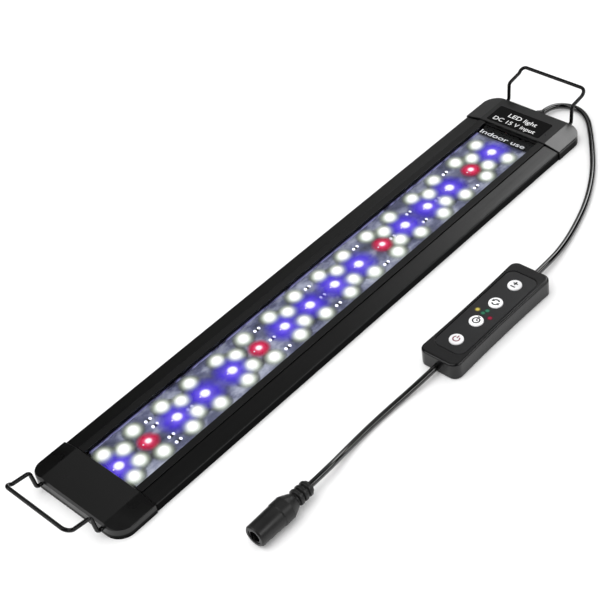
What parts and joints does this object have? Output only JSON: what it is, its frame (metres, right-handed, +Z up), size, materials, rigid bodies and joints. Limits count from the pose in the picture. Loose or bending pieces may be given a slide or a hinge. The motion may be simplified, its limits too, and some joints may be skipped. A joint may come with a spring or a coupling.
{
  "type": "led aquarium light",
  "caption": "Flat black aquarium light bar with an LED strip under a clear lens, sliding wire rim brackets and an inline four-button controller with a DC jack.",
  "frame": {"origin": "under the middle of the bar, on the plane of the bar's back; the lead, the controller and the jack are left out of that middle", "axes": "+X along the bar, towards the end that the lead leaves; +Z up, the way the LEDs face with the bar lying on its back; the controller and jack lie on the -Y side"},
  "size_m": [0.3887, 0.1223, 0.0205],
  "materials": {
    "anodised_aluminium": "black anodised, satin",
    "cap_plastic": "moulded black ABS, fine matte grain",
    "seal_rubber": "black silicone rubber",
    "lens_acrylic": "clear acrylic sheet",
    "black_print": "gloss black film",
    "white_board": "white solder mask",
    "thermal_pad": "grey silicone pad",
    "led_white": "white package with pale phosphor",
    "led_blue": "white package, clear blue emitter",
    "led_red": "white package, clear red emitter",
    "chip_black": "black epoxy",
    "capacitor_tan": "tan ceramic",
    "screw_steel": "zinc plated steel",
    "bracket_wire": "black nickel plated wire",
    "cord_pvc": "gloss black PVC",
    "core_red": "red PVC insulation",
    "core_black": "black PVC insulation",
    "controller_plastic": "satin black ABS",
    "overlay_film": "matte black film",
    "green_board": "green solder mask",
    "switch_plastic": "black moulding",
    "button_white": "white ABS",
    "light_pipe_clear": "clear moulding",
    "indicator_led": "small lamp",
    "contact_brass": "nickel plated brass"
  },
  "bodies": {
    "light": {"board_resistors": "chip_black", "bracket_bushings_far": "seal_rubber", "bracket_bushings_near": "seal_rubber", "cap_far": "cap_plastic", "cap_near": "cap_plastic", "cap_screws": "screw_steel", "controller_board": "green_board", "controller_bottom": "controller_plastic", "controller_capacitors": "capacitor_tan", "controller_chip": "chip_black", "controller_mosfets": "chip_black", "controller_overlay": "overlay_film", "controller_screws": "screw_steel", "controller_top": "controller_plastic", "cord_gland": "cord_pvc", "cord_grips": "cord_pvc", "cord_to_controller": "cord_pvc", "cord_to_jack": "cord_pvc", "gasket_far": "seal_rubber", "gasket_near": "seal_rubber", "housing": "anodised_aluminium", "indicator_leds": "indicator_led", "jack_body": "cord_pvc", "jack_contact": "contact_brass", "jack_insulator": "controller_plastic", "jack_pin": "contact_brass", "lead_wire_minus": "core_black", "lead_wire_plus": "core_red", "led_board": "white_board", "leds_blue": "led_blue", "leds_red": "led_red", "leds_white": "led_white", "lens": "lens_acrylic", "lens_end_mask": "black_print", "light_pipes": "light_pipe_clear", "rating_label": "black_print", "tact_switches": "switch_plastic", "thermal_pad": "thermal_pad"},
    "bracket_near": {"bracket_near": "bracket_wire"},
    "bracket_far": {"bracket_far": "bracket_wire"},
    "button_power": {"button_power": "button_white", "plunger_power": "switch_plastic"},
    "button_timer": {"button_timer": "button_white", "plunger_timer": "switch_plastic"},
    "button_mode": {"button_mode": "button_white", "plunger_mode": "switch_plastic"},
    "button_brightness": {"button_brightness": "button_white", "plunger_brightness": "switch_plastic"}
  },
  "joints": [
    {"name": "bracket_near_slide", "type": "slide", "parent": "light", "child": "bracket_near", "axis": [-1, 0, 0], "range_m": [0, 0.06]},
    {"name": "bracket_far_slide", "type": "slide", "parent": "light", "child": "bracket_far", "axis": [1, 0, 0], "range_m": [0, 0.06]},
    {"name": "button_power_press", "type": "slide", "parent": "light", "child": "button_power", "axis": [0, 0, -1], "range_m": [0, 0.0004], "stiffness_N_per_m": 600, "springref_m": -0.0006},
    {"name": "button_timer_press", "type": "slide", "parent": "light", "child": "button_timer", "axis": [0, 0, -1], "range_m": [0, 0.0004], "stiffness_N_per_m": 600, "springref_m": -0.0006},
    {"name": "button_mode_press", "type": "slide", "parent": "light", "child": "button_mode", "axis": [0, 0, -1], "range_m": [0, 0.0004], "stiffness_N_per_m": 600, "springref_m": -0.0006},
    {"name": "button_brightness_press", "type": "slide", "parent": "light", "child": "button_brightness", "axis": [0, 0, -1], "range_m": [0, 0.0004], "stiffness_N_per_m": 600, "springref_m": -0.0006}
  ]
}
